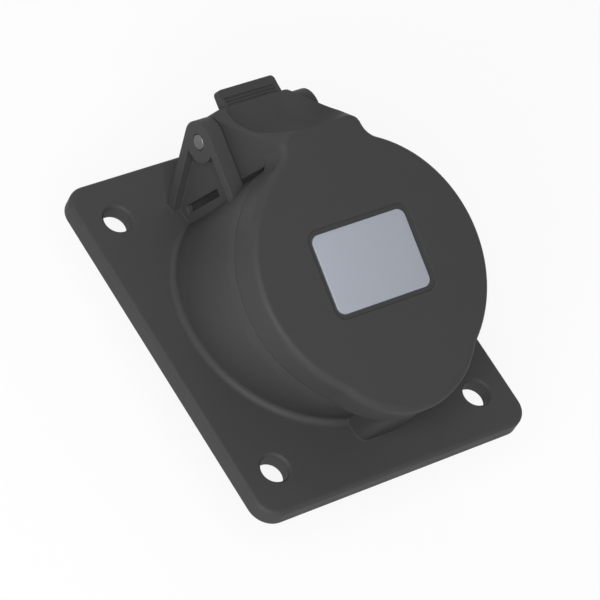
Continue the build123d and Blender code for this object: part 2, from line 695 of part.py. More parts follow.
def contact_sleeve(index):
    """One brass contact: slotted sleeve, shoulder and clamping terminal in one turning."""
    bore_r = contact_sizes(CONTACTS[index])[0]
    outer_r = bore_r + SLEEVE_WALL
    shoulder_r = terminal_r(CONTACTS[index])
    body = disc(outer_r, TERMINAL_FRONT, SLEEVE_FRONT)
    body += disc(shoulder_r, TERMINAL_FRONT - TERMINAL_LENGTH, TERMINAL_FRONT)
    body -= disc(bore_r, FLOOR + BORE_FLOOR, SLEEVE_FRONT + 1)
    slot = Box(4 * outer_r, SLEEVE_SLOT, SLEEVE_SLOT_LENGTH)
    for turn in (45, 135):
        body -= Rot(0, 0, turn) * Pos(0, 0, SLEEVE_FRONT - SLEEVE_SLOT_LENGTH / 2) * slot
    wire_end = TERMINAL_FRONT - TERMINAL_LENGTH
    body -= disc(WIRE_HOLE_R, wire_end - 1, TERMINAL_FRONT - WIRE_HOLE_FLOOR)
    angle = EARTH_ANGLE + index * 360 / len(CONTACTS)
    hole_length = 2 * shoulder_r
    hole = Rot(0, 90, 0) * Cylinder(TERMINAL_SCREW_R + SCREW_FIT, hole_length)
    body -= Rot(0, 0, angle) * Pos(hole_length / 2, 0, SCREW_DEPTH) * hole
    groove = ring(outer_r + 1, outer_r - RING_WIRE_R + RING_SINK, -RING_WIRE_R, RING_WIRE_R)
    body -= Pos(0, 0, SLEEVE_FRONT - RING_OFFSET) * groove
    x, y = contact_spot(index)
    return socket * Pos(x, y, 0) * body


def contact_ring(index):
    """Open steel ring that keeps one slotted sleeve tight on its pin."""
    mean_r = contact_sizes(CONTACTS[index])[0] + SLEEVE_WALL + RING_SINK
    turn = 360 - RING_GAP_ANGLE
    section = Plane.XZ * Pos(mean_r, 0) * Circle(RING_WIRE_R - RING_FIT)
    wire = Rot(0, 0, EARTH_ANGLE) * revolve(section, Axis.Z, revolution_arc=turn)
    x, y = contact_spot(index)
    return socket * Pos(x, y, SLEEVE_FRONT - RING_OFFSET) * wire


def terminal_screw(index):
    """Clamping screw of one terminal, pointing in towards the socket's axis."""
    shoulder_r = terminal_r(CONTACTS[index])
    length = shoulder_r - WIRE_HOLE_R + TERMINAL_SCREW_REACH
    screw = slotted_screw(TERMINAL_SCREW_R, length, TERMINAL_HEAD_R, TERMINAL_HEAD_HEIGHT)
    angle = EARTH_ANGLE + index * 360 / len(CONTACTS)
    out = PIN_CIRCLE_R + shoulder_r + TERMINAL_HEAD_STAND
    return socket * Rot(0, 0, angle) * Pos(out, 0, SCREW_DEPTH) * Rot(0, 90, 0) * screw


def carrier_screws():
    """Three screws that hold the contact carrier on the body's ledge."""
    screws = []
    for x, y in fixing_spots():
        length = FIXING_SCREW_LENGTH - SCREW_TIP_GAP
        screw = slotted_screw(FIXING_SCREW_R, length, FIXING_HEAD_R, FIXING_HEAD_HEIGHT)
        screws.append(socket * Pos(x, y, GAP_FLOOR - FIXING_HEAD_HEIGHT) * screw)
    return Compound(children=screws)


def carrier_centre_screw():
    """The screw that draws the two insulators together."""
    length = CENTRE_SCREW_LENGTH - 2 * SCREW_TIP_GAP
    screw = slotted_screw(CENTRE_SCREW_R, length, CENTRE_HEAD_R, CENTRE_HEAD_HEIGHT)
    return socket * Pos(0, 0, CARRIER_END + CENTRE_HEAD_HEIGHT) * Rot(180, 0, 0) * screw


def main():
    """Builds every piece and writes one STEP file for each."""
    nodes = {
        "housing": housing(),
        "flange_seal": flange_seal(),
        "lid": lid(),
        "label": label(),
        "lid_seal": lid_seal(),
        "hinge_pin": hinge_pin(),
        "lid_spring": lid_spring(),
        "contact_carrier": contact_carrier(),
        "contact_block": contact_block(),
        "terminal_carrier": terminal_carrier(),
        "carrier_screws": carrier_screws(),
        "carrier_centre_screw": carrier_centre_screw(),
    }
    for index, name in enumerate(CONTACTS):
        nodes[f"contact_sleeve_{name}"] = contact_sleeve(index)
        nodes[f"contact_ring_{name}"] = contact_ring(index)
        nodes[f"terminal_screw_{name}"] = terminal_screw(index)
    os.makedirs("parts", exist_ok=True)
    for name, shape in nodes.items():
        export_step(shape, f"parts/{name}.step")


main()
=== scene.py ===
"""Looks of the sloping panel socket, laid out as an add-on.

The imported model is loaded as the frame. Each operator below finishes one piece, or a
group of like pieces, and the last one sets the floor, the lamps and the camera.
Lengths are in metres. The panel frame has X along the hinge and Z out of the panel,
and the socket frame leans 20 degrees from it, with its origin on the lid's face.
"""

import json
from collections import namedtuple
from math import cos, pi, radians, sin

import bpy
from bpy.props import FloatProperty, FloatVectorProperty, IntProperty, PointerProperty
from bpy.types import Operator, Panel, PropertyGroup
from mathutils import Matrix, Vector

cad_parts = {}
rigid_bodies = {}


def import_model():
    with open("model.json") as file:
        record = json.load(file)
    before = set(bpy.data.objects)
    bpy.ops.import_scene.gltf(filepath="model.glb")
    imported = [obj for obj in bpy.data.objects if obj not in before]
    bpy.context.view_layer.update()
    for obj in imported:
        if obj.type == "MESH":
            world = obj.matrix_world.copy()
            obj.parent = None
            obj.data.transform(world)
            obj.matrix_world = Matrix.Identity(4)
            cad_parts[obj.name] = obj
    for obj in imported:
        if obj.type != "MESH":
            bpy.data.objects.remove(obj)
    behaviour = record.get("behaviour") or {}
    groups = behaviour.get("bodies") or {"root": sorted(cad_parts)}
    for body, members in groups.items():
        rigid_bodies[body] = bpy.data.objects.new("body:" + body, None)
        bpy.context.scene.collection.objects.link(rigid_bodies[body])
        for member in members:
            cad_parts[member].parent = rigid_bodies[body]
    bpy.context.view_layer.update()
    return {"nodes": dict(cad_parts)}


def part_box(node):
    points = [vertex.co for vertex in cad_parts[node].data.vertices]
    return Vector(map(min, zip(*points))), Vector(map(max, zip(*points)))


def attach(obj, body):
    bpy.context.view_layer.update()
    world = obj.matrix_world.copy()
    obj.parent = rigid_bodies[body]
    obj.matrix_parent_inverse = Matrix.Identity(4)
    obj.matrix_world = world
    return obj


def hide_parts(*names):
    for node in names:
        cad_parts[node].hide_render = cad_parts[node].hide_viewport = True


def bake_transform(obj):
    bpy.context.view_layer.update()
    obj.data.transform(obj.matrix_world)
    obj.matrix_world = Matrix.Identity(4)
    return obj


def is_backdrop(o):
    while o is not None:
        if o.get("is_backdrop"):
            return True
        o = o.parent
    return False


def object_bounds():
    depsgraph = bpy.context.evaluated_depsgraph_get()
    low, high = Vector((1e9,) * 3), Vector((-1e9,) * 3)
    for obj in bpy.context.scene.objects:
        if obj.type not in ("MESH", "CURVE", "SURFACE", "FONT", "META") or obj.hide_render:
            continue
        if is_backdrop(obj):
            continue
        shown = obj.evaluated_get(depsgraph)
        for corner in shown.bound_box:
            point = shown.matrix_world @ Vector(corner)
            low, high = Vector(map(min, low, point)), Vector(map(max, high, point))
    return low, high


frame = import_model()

bl_info = {
    "name": "Panel Socket Looks",
    "version": (1, 0, 0),
    "blender": (4, 5, 0),
    "location": "3D View > Sidebar > Panel Socket",
    "description": "Finishes, small fasteners and studio for a sloping panel socket",
    "category": "Object",
}

# The socket frame's place and lean, and the turns that lay a pattern's Z along an axis
LID_FACE = (0, -0.0129, 0.0435)
LEAN = radians(20)
ALONG_SOCKET = (LEAN, 0, 0)
ALONG_PIN = (0, pi / 2, 0)

# Contacts, and their turns round the socket's axis in degrees from X
CONTACTS = ("pe", "l1", "l2", "l3", "n")
EARTH_TURN = 240
CONTACT_STEP = 72

# The distance that counts as touching, as where the lid spring's wire is merged, and the bend that
# looks smooth
CLOSE = 1e-6
SMOOTH_ANGLE = radians(40)

# Screws: the radius and height of the head, the radius of the shank and its length
ScrewSize = namedtuple("ScrewSize", "head_r head_height shank_r length")
LINE_SCREW = ScrewSize(0.003, 0.0026, 0.002, 0.0044)
EARTH_SCREW = LINE_SCREW._replace(length=0.0054)
CARRIER_SCREW = ScrewSize(0.0022, 0.0015, 0.0014, 0.010)
CENTRE_SCREW = ScrewSize(0.0035, 0.0024, 0.002, 0.024)

# Where the undersides of the screws' heads lie in the socket frame
LINE_SCREW_OUT = 0.0224
EARTH_SCREW_OUT = 0.0234
TERMINAL_SCREW_DEPTH = -0.0625
CARRIER_SCREW_OUT = 0.0295
CARRIER_SCREW_DEPTH = -0.0485
CARRIER_SCREW_TURNS = (30, 150, 285)
CENTRE_SCREW_DEPTH = -0.0696

# Shares of a screw's own sizes
HEAD_ROUNDING = 0.22
TIP_LENGTH = 0.3
TIP_WIDTH = 0.7
THREAD_FILL = 0.92

# The smoothest and the roughest spots of each finish
ROUGHNESS = {
    "housing": (0.46, 0.60),
    "lid": (0.44, 0.56),
    "insulator": (0.38, 0.50),
    "film": (0.42, 0.52),
    "rubber": (0.72, 0.90),
    "pin": (0.34, 0.50),
    "spring": (0.24, 0.36),
    "contact": (0.20, 0.34),
    "ring": (0.25, 0.38),
    "screw": (0.30, 0.45),
}

# How many patches of each noise lie in a metre
FLOW_SCALE = 38.0
DULL_SCALE = 90.0
# Patches of the paler edges: a painted highlight with light rubbing wear
RUB_AND_SHEEN_SCALE = 420.0
TARNISH_SCALE = 260.0
MOTTLE_SCALE = 60.0

# The mould's grain: its size, the pits' share of its scale, and its share of height and tone
GRAIN = 0.00035
PIT_SCALE = 0.37
GRAIN_IN_HEIGHT = 0.65
GRAIN_IN_TONE = 0.3

# How fast the paler edges show as a face bends, and how much paler they are: a painted highlight along
# sharp edges, with light rubbing wear
EDGE_GAIN = 5.0
RUB_AND_SHEEN_GAIN = 1.5
RUB_AND_SHEEN_LIFT = 0.004

# Drift of each tone, the paleness of the rubber's bloom, and a lathe's feed in one turn
PLASTIC_DRIFT = 0.07
FILM_DRIFT = 0.05
FLOOR_DRIFT = 0.01
RUBBER_BLOOM = 0.010
LATHE_FEED = 0.00012

# Place and width of each lamp, named after its power in the stage's settings
LAMPS = {
    "key": ((-0.63, -0.42, 0.80), 0.8),
    "fill": ((0.10, 0.85, 0.60), 0.9),
    "side": ((-0.85, -0.40, 0.45), 0.9),
}

# The floor and its gap below the part, the camera's sensor in millimetres, and its limits
FLOOR_SIZE = 6
FLOOR_GAP = 0.0002
SENSOR_WIDTH = 36
CLIP_NEAR = 0.01
CLIP_FAR = 50


class SocketPlastics(PropertyGroup):
    """Colours and surface of the moulded pieces."""

    # The housing's grey is set paler than the lid's to lift its faces that lie in shade: painted
    # light.
    housing_colour: FloatVectorProperty(
        name="Housing colour", description="Grey of the flange, body and ears",
        subtype="COLOR", size=3, min=0, max=1, default=(0.0485, 0.0485, 0.0490))
    lid_colour: FloatVectorProperty(
        name="Lid colour", description="Grey of the sprung lid",
        subtype="COLOR", size=3, min=0, max=1, default=(0.0435, 0.0435, 0.0440))
    insulator_colour: FloatVectorProperty(
        name="Insulator colour", description="Near black of the three insulators",
        subtype="COLOR", size=3, min=0, max=1, default=(0.014, 0.014, 0.015))
    rubber_colour: FloatVectorProperty(
        name="Rubber colour", description="Black of the two seals",
        subtype="COLOR", size=3, min=0, max=1, default=(0.012, 0.012, 0.012))
    grain: FloatProperty(
        name="Grain", description="Size of the fine texture that the mould leaves",
        subtype="DISTANCE", unit="LENGTH", min=0.00005, max=0.002, default=GRAIN)
    grain_depth: FloatProperty(
        name="Grain depth", description="Height of that texture",
        subtype="DISTANCE", unit="LENGTH", min=0, max=0.0002, default=0.000012)
    edge_round: FloatProperty(
        name="Edge rounding", description="Radius that catches the light along sharp edges",
        subtype="DISTANCE", unit="LENGTH", min=0.00005, max=0.001, default=0.00045)


class SocketLabel(PropertyGroup):
    """Size, edges and colour of the bare rating label."""

    width: FloatProperty(
        name="Width", description="Size along the hinge",
        subtype="DISTANCE", unit="LENGTH", min=0.02, max=0.033, default=0.0312)
    height: FloatProperty(
        name="Height", description="Size across the hinge",
        subtype="DISTANCE", unit="LENGTH", min=0.015, max=0.024, default=0.0222)
    thickness: FloatProperty(
        name="Thickness", description="Thickness of the film",
        subtype="DISTANCE", unit="LENGTH", min=0.0001, max=0.0007, default=0.0005)
    corner: FloatProperty(
        name="Corner radius", description="Rounding of the four corners",
        subtype="DISTANCE", unit="LENGTH", min=0.0005, max=0.005, default=0.0024)
    edge: FloatProperty(
        name="Edge rounding", description="Share of the thickness that rounds the upper edge",
        subtype="FACTOR", min=0.05, max=0.45, default=0.35)
    colour: FloatVectorProperty(
        name="Film colour", description="Silver grey of the film",
        subtype="COLOR", size=3, min=0, max=1, default=(0.298, 0.318, 0.362))


class SocketMetals(PropertyGroup):
    """Colours of the metal pieces."""

    pin_colour: FloatVectorProperty(
        name="Pin colour", description="Plain steel of the hinge pin",
        subtype="COLOR", size=3, min=0, max=1, default=(0.19, 0.19, 0.19))
    spring_colour: FloatVectorProperty(
        name="Spring colour", description="Drawn wire of the lid spring and contact rings",
        subtype="COLOR", size=3, min=0, max=1, default=(0.42, 0.42, 0.41))
    contact_colour: FloatVectorProperty(
        name="Contact colour", description="Turned brass of the contacts",
        subtype="COLOR", size=3, min=0, max=1, default=(0.62, 0.43, 0.16))
    screw_colour: FloatVectorProperty(
        name="Screw colour", description="Zinc plating of the screws",
        subtype="COLOR", size=3, min=0, max=1, default=(0.50, 0.49, 0.45))


class SocketScrews(PropertyGroup):
    """Thread and driver slot of the small screws."""

    pitch: FloatProperty(
        name="Thread pitch", description="Rise of one turn of the thread",
        subtype="DISTANCE", unit="LENGTH", min=0.0003, max=0.002, default=0.0007)
    depth: FloatProperty(
        name="Thread depth", description="Height of the thread on its core",
        subtype="DISTANCE", unit="LENGTH", min=0.0001, max=0.001, default=0.00035)
    steps: IntProperty(
        name="Steps", description="Faces in one turn of the thread", min=12, max=64, default=24)
    slot_width: FloatProperty(
        name="Slot width", description="Width of the driver slot",
        subtype="DISTANCE", unit="LENGTH", min=0.0003, max=0.002, default=0.0008)
    slot_depth: FloatProperty(
        name="Slot depth", description="Depth of the driver slot",
        subtype="DISTANCE", unit="LENGTH", min=0.0003, max=0.001, default=0.0009)


class SocketStage(PropertyGroup):
    """Floor, lamps and camera."""

    floor_colour: FloatVectorProperty(
        name="Floor colour", description="Pale tone of the floor",
        subtype="COLOR", size=3, min=0, max=1, default=(0.86, 0.86, 0.86))
    floor_glow: FloatProperty(
        name="Floor whiteness", description="Share of plain white that views see in the floor",
        subtype="FACTOR", min=0, max=1, default=0.88)
    sky: FloatProperty(
        name="Sky strength", description="Even light from all round", min=0, max=3, default=0.18)
    key: FloatProperty(
        name="Key lamp", description="Power of the large soft lamp behind the camera",
        unit="POWER", min=0, max=200, default=13.0)
    fill: FloatProperty(
        name="Fill lamp", description="Power of the soft lamp beyond the hinge",
        unit="POWER", min=0, max=200, default=2.0)
    side: FloatProperty(
        name="Side lamp", description="Power of the soft lamp low on the camera's side",
        unit="POWER", min=0, max=200, default=2.0)
    camera_place: FloatVectorProperty(
        name="Camera place", description="Where the camera stands",
        subtype="TRANSLATION", unit="LENGTH", size=3, default=(-0.53231, -0.32653, 0.73739))
    camera_turn: FloatVectorProperty(
        name="Camera turn", description="The camera's turn about X, Y and Z",
        subtype="EULER", size=3,
        default=(radians(35.9404), radians(-20.1947), radians(-32.9682)))
    camera_lens: FloatProperty(
        name="Lens", description="Focal length in millimetres on a 36 mm wide sensor",
        min=20, max=500, default=211.35)


def socket_frame():
    """The socket frame: its origin on the lid's face, Z out along the socket's axis."""
    return Matrix.Translation(LID_FACE) @ Matrix.Rotation(LEAN, 4, "X")


# Materials

def new_group(name, inputs, outputs):
    """A shader node group with named sockets, its input and output nodes and its links."""
    tree = bpy.data.node_groups.new(name, "ShaderNodeTree")
    for label, kind, value in inputs:
        made = tree.interface.new_socket(label, in_out="INPUT", socket_type=kind)
        if value is not None:
            made.default_value = value
    for label, kind in outputs:
        tree.interface.new_socket(label, in_out="OUTPUT", socket_type=kind)
    return tree, tree.nodes.new("NodeGroupInput"), tree.nodes.new("NodeGroupOutput")


def feed_socket(tree, value, socket):
    """Links a value that comes from a node to a socket, or sets a plain one there."""
    if isinstance(value, bpy.types.NodeSocket):
        tree.links.new(value, socket)
    else:
        socket.default_value = value


def maths(tree, operation, first, second, clamp=False):
    """A Math node on two links or numbers, and its result."""
    node = tree.nodes.new("ShaderNodeMath")
    node.operation = operation
    node.use_clamp = clamp
    feed_socket(tree, first, node.inputs[0])
    feed_socket(tree, second, node.inputs[1])
    return node.outputs[0]


def vector_maths(tree, operation, first, second=None):
    """A Vector Math node on a link and, where one is given, a second link or three numbers."""
    node = tree.nodes.new("ShaderNodeVectorMath")
    node.operation = operation
    feed_socket(tree, first, node.inputs[0])
    if second is not None:
        feed_socket(tree, second, node.inputs[1])
    return node


def noise(tree, vector, scale, detail, roughness=0.5):
    """A Noise Texture's value at a scale that is a number or a link."""
    node = tree.nodes.new("ShaderNodeTexNoise")
    node.inputs["Detail"].default_value = detail
    node.inputs["Roughness"].default_value = roughness
    tree.links.new(vector, node.inputs["Vector"])
    feed_socket(tree, scale, node.inputs["Scale"])
    return node.outputs["Fac"]


def mixed(tree, first, second, share):
    """Two values added up, the first with its share and the second with the rest."""
    return maths(
        tree, "ADD", maths(tree, "MULTIPLY", first, share), maths(tree, "MULTIPLY", second, 1 - share))


def moulded_skin():
    """Fine texture of a moulded face, with slow flow marks and patches that are duller."""
    if "moulded skin" in bpy.data.node_groups:
        return bpy.data.node_groups["moulded skin"]
    tree, given, made = new_group(
        "moulded skin",
        [("Vector", "NodeSocketVector", None), ("Grain", "NodeSocketFloat", GRAIN)],
        [("Height", "NodeSocketFloat"), ("Shade", "NodeSocketFloat"), ("Dullness", "NodeSocketFloat")])
    vector = given.outputs["Vector"]
    fine_scale = maths(tree, "DIVIDE", 1.0, given.outputs["Grain"])
    fine = noise(tree, vector, fine_scale, 3.0, 0.6)
    pits = noise(tree, vector, maths(tree, "MULTIPLY", fine_scale, PIT_SCALE), 2.0)
    flow = noise(tree, vector, FLOW_SCALE, 3.0)
    tree.links.new(mixed(tree, fine, pits, GRAIN_IN_HEIGHT), made.inputs["Height"])
    tree.links.new(mixed(tree, fine, flow, GRAIN_IN_TONE), made.inputs["Shade"])
    tree.links.new(noise(tree, vector, DULL_SCALE, 4.0, 0.6), made.inputs["Dullness"])
    return tree


def edge_rub_and_sheen():
    """A mask of sharp edges, broken into patches, where the plastic is painted paler: a painted
    highlight along the edges, with light rubbing wear.
    """
    if "edge sheen" in bpy.data.node_groups:
        return bpy.data.node_groups["edge sheen"]
    tree, given, made = new_group(
        "edge sheen",
        [("Normal", "NodeSocketVector", None), ("Vector", "NodeSocketVector", None)],
        [("Mask", "NodeSocketFloat")])
    flat = tree.nodes.new("ShaderNodeNewGeometry")
    facing = vector_maths(tree, "DOT_PRODUCT", given.outputs["Normal"], flat.outputs["Normal"])
    bend = maths(tree, "SUBTRACT", 1.0, facing.outputs["Value"])
    rub_and_sheen = noise(tree, given.outputs["Vector"], RUB_AND_SHEEN_SCALE, 3.0, 0.6)
    mask = maths(tree, "MULTIPLY", maths(tree, "MULTIPLY", bend, EDGE_GAIN, True), rub_and_sheen, True)
    tree.links.new(mask, made.inputs["Mask"])
    return tree


def turned_marks():
    """Fine rings that a lathe leaves along the axis Z of the vector it is given."""
    if "turned marks" in bpy.data.node_groups:
        return bpy.data.node_groups["turned marks"]
    tree, given, made = new_group(
        "turned marks",
        [("Vector", "NodeSocketVector", None), ("Feed", "NodeSocketFloat", LATHE_FEED)],
        [("Height", "NodeSocketFloat"), ("Shine", "NodeSocketFloat")])
    parts = tree.nodes.new("ShaderNodeSeparateXYZ")
    tree.links.new(given.outputs["Vector"], parts.inputs[0])
    along = maths(tree, "DIVIDE", parts.outputs["Z"], given.outputs["Feed"])
    across = vector_maths(tree, "MULTIPLY", given.outputs["Vector"], (1, 1, 0))
    length = vector_maths(tree, "LENGTH", across.outputs[0])
    out = maths(tree, "DIVIDE", length.outputs["Value"], given.outputs["Feed"])
    rings = tree.nodes.new("ShaderNodeTexNoise")
    rings.noise_dimensions = "1D"
    rings.inputs["Scale"].default_value = 1.0
    rings.inputs["Detail"].default_value = 2.0
    tree.links.new(maths(tree, "ADD", along, out), rings.inputs["W"])
    tree.links.new(rings.outputs["Fac"], made.inputs["Height"])
    shine = noise(tree, given.outputs["Vector"], TARNISH_SCALE, 4.0, 0.6)
    tree.links.new(shine, made.inputs["Shine"])
    return tree


def blank_material(name):
    """A node material with its shader, and Object coordinates through a Mapping node."""
    material = bpy.data.materials.new(name)
    material.use_nodes = True
    tree = material.node_tree
    shader = tree.nodes["Principled BSDF"]
    place = tree.nodes.new("ShaderNodeTexCoord")
    mapping = tree.nodes.new("ShaderNodeMapping")
    tree.links.new(place.outputs["Object"], mapping.inputs["Vector"])
    return material, tree, shader, mapping


def place_group(tree, group, **values):
    """A node group placed in a material, with its own values or links."""
    node = tree.nodes.new("ShaderNodeGroup")
    node.node_tree = group
    for label, value in values.items():
        feed_socket(tree, value, node.inputs[label])
    return node


def blend_colours(tree, share, first, second):
    """A Mix node between two colours, each a link or three numbers."""
    node = tree.nodes.new("ShaderNodeMix")
    node.data_type = "RGBA"
    tree.links.new(share, node.inputs["Factor"])
    for slot, value in (("A", first), ("B", second)):
        socket = [s for s in node.inputs if s.name == slot and s.type == "RGBA"][0]
        if isinstance(value, bpy.types.NodeSocket):
            tree.links.new(value, socket)
        else:
            socket.default_value = (*value, 1)
    return [s for s in node.outputs if s.type == "RGBA"][0]


def spread(tree, value, low, high):
    """A value from 0 to 1 spread between two numbers."""
    node = tree.nodes.new("ShaderNodeMapRange")
    node.inputs["To Min"].default_value = low
    node.inputs["To Max"].default_value = high
    tree.links.new(value, node.inputs["Value"])
    return node.outputs["Result"]


def drifted(colour, drift):
    """A colour made darker and paler by the same share."""
    return tuple(c * (1 - drift) for c in colour), tuple(c * (1 + drift) for c in colour)


def roughen(tree, shader, height, strength, distance, normal=None):
    """A Bump node from a height to the shader's Normal, on top of a normal if one is given."""
    bump = tree.nodes.new("ShaderNodeBump")
    bump.inputs["Strength"].default_value = strength
    bump.inputs["Distance"].default_value = distance
    tree.links.new(height, bump.inputs["Height"])
    if normal:
        tree.links.new(normal, bump.inputs["Normal"])
    tree.links.new(bump.outputs[0], shader.inputs["Normal"])


def plastic(name, colour, roughness):
    """Satin moulded plastic: fine grain, a faint drift in tone, softly lit rounded edges, and a
    painted highlight with light rubbing wear along them.
    """
    sizes = bpy.context.scene.socket_plastics
    material, tree, shader, mapping = blank_material(name)
    skin = place_group(tree, moulded_skin(), Vector=mapping.outputs[0], Grain=sizes.grain)
    rounded = tree.nodes.new("ShaderNodeBevel")
    rounded.samples = 4
    rounded.inputs["Radius"].default_value = sizes.edge_round
    sheen = place_group(
        tree, edge_rub_and_sheen(), Normal=rounded.outputs[0], Vector=mapping.outputs[0])
    tone = blend_colours(tree, skin.outputs["Shade"], *drifted(colour, PLASTIC_DRIFT))
    # Sharp edges are painted paler: a painted highlight, with light rubbing wear
    rub_and_sheen = tuple(c * RUB_AND_SHEEN_GAIN + RUB_AND_SHEEN_LIFT for c in colour)
    tree.links.new(
        blend_colours(tree, sheen.outputs["Mask"], tone, rub_and_sheen), shader.inputs["Base Color"])
    tree.links.new(spread(tree, skin.outputs["Dullness"], *roughness), shader.inputs["Roughness"])
    roughen(
        tree, shader, skin.outputs["Height"], strength=0.6, distance=sizes.grain_depth,
        normal=rounded.outputs[0])
    shader.inputs["Specular IOR Level"].default_value = 0.10
    return material


def film():
    """Silver grey label film with a fine matt surface and a soft waviness."""
    material, tree, shader, mapping = blank_material("label film")
    skin = place_group(tree, moulded_skin(), Vector=mapping.outputs[0], Grain=0.00022)
    shades = drifted(bpy.context.scene.socket_label.colour, FILM_DRIFT)
    tree.links.new(
        blend_colours(tree, skin.outputs["Shade"], *shades), shader.inputs["Base Color"])
    tree.links.new(
        spread(tree, skin.outputs["Dullness"], *ROUGHNESS["film"]), shader.inputs["Roughness"])
    roughen(tree, shader, skin.outputs["Height"], strength=0.4, distance=0.000008)
    shader.inputs["Metallic"].default_value = 0.15
    shader.inputs["Specular IOR Level"].default_value = 0.3
    return material


def rubber():
    """Matt black sealing rubber with a bloom that dulls it in patches."""
    material, tree, shader, mapping = blank_material("seal rubber")
    skin = place_group(tree, moulded_skin(), Vector=mapping.outputs[0], Grain=0.0005)
    colour = tuple(bpy.context.scene.socket_plastics.rubber_colour)
    bloom = tuple(c + RUBBER_BLOOM for c in colour)
    tree.links.new(
        blend_colours(tree, skin.outputs["Shade"], colour, bloom), shader.inputs["Base Color"])
    tree.links.new(
        spread(tree, skin.outputs["Dullness"], *ROUGHNESS["rubber"]), shader.inputs["Roughness"])
    roughen(tree, shader, skin.outputs["Height"], strength=0.5, distance=0.00002)
    shader.inputs["Specular IOR Level"].default_value = 0.3
    return material


def metal(name, colour, axis_place, axis_turn, roughness, feed=LATHE_FEED, tarnish=0.8):
    """Turned or drawn metal: rings about an axis, and dull patches that keep a share of the colour."""
    material, tree, shader, mapping = blank_material(name)
    mapping.vector_type = "TEXTURE"
    mapping.inputs["Location"].default_value = axis_place
    mapping.inputs["Rotation"].default_value = axis_turn
    marks = place_group(tree, turned_marks(), Vector=mapping.outputs[0], Feed=feed)
    dull = tuple(c * tarnish for c in colour)
    tree.links.new(
        blend_colours(tree, marks.outputs["Shine"], dull, colour), shader.inputs["Base Color"])
    smoothest, roughest = roughness
    tree.links.new(
        spread(tree, marks.outputs["Shine"], roughest, smoothest), shader.inputs["Roughness"])
    roughen(tree, shader, marks.outputs["Height"], strength=0.5, distance=0.000006)
    shader.inputs["Metallic"].default_value = 1.0
    return material


# Modelling

def deselect():
    """Leaves edit mode and deselects every object."""
    if bpy.context.object and bpy.context.object.mode != "OBJECT":
        bpy.ops.object.mode_set(mode="OBJECT")
    bpy.ops.object.select_all(action="DESELECT")


def pick(piece):
    """Makes one object the only selected and active one."""
    deselect()
    piece.select_set(True)
    bpy.context.view_layer.objects.active = piece


def pick_parts(piece, kind, wanted):
    """Selects the faces or edges that a test accepts, and leaves the piece in edit mode."""
    pick(piece)
    bpy.ops.object.mode_set(mode="EDIT")
    bpy.ops.mesh.select_mode(type=kind)
    bpy.ops.mesh.select_all(action="DESELECT")
    bpy.ops.object.mode_set(mode="OBJECT")
    parts = piece.data.polygons if kind == "FACE" else piece.data.edges
    for part in parts:
        part.select = wanted(part)
    bpy.ops.object.mode_set(mode="EDIT")


def pick_faces(piece, wanted):
    """Selects the faces of a piece that a test accepts."""
    pick_parts(piece, "FACE", wanted)


def pick_edges(piece, wanted):
    """Selects the edges of a piece whose two ends a test accepts."""
    def accepts(edge):
        first, second = (piece.data.vertices[i].co for i in edge.vertices)
        return wanted(first, second)

    pick_parts(piece, "EDGE", accepts)


def set_down(piece, matrix):
    """Moves a finished piece to its place and keeps the place in its mesh."""
    pick(piece)
    piece.matrix_world = matrix @ piece.matrix_world
    bpy.ops.object.transform_apply(location=True, rotation=True, scale=True)


def smooth(piece):
    """Smooth shading that keeps sharp edges."""
    pick(piece)
    bpy.ops.object.shade_smooth_by_angle(angle=SMOOTH_ANGLE)


def coat(piece, material):
    """Gives a piece one material in place of any it has."""
    piece.data.materials.clear()
    piece.data.materials.append(material)


def dress(node, material):
    """Gives a node of the frame its finish."""
    coat(frame["nodes"][node], material)


def threaded_screw(name, size):
    """One slotted screw down Z, its head's underside at the origin and its shank threaded."""
    sizes = bpy.context.scene.socket_screws
    core = size.shank_r - sizes.depth
    tip = core * TIP_LENGTH
    deselect()
    bpy.ops.mesh.primitive_cylinder_add(
        vertices=40, radius=size.head_r, depth=size.head_height,
        location=(0, 0, size.head_height / 2))
    screw = bpy.context.object
    screw.name = name
    bpy.ops.object.transform_apply(location=True, rotation=True, scale=True)
    pick_edges(screw, lambda a, b: min(a.z, b.z) > size.head_height - CLOSE)
    bpy.ops.mesh.bevel(offset=size.head_height * HEAD_ROUNDING, segments=4, affect="EDGES")
    pick_faces(screw, lambda f: f.center.z < CLOSE)
    bpy.ops.mesh.inset(thickness=size.head_r - core)
    bpy.ops.mesh.extrude_region_move(TRANSFORM_OT_translate={"value": (0, 0, tip - size.length)})
    bpy.ops.mesh.extrude_region_move(TRANSFORM_OT_translate={"value": (0, 0, -tip)})
    bpy.ops.transform.resize(value=(TIP_WIDTH, TIP_WIDTH, 1))
    cut_slot(screw, size, sizes)
    thread = thread_ridge(core, size.length - tip, sizes)
    pick(screw)
    thread.select_set(True)
    bpy.ops.object.join()
    smooth(screw)
    return screw


def cut_slot(screw, size, sizes):
    """Cuts the driver slot with a block that is longer than the screw's head is wide."""
    deselect()
    bpy.ops.mesh.primitive_cube_add(size=1, location=(0, 0, size.head_height))
    slot = bpy.context.object
    slot.scale = (3 * size.head_r, sizes.slot_width, 2 * sizes.slot_depth)
    bpy.ops.object.transform_apply(location=False, rotation=False, scale=True)
    pick(screw)
    cut = screw.modifiers.new("driver slot", "BOOLEAN")
    cut.object = slot
    cut.operation = "DIFFERENCE"
    bpy.ops.object.modifier_apply(modifier=cut.name)
    bpy.data.objects.remove(slot)


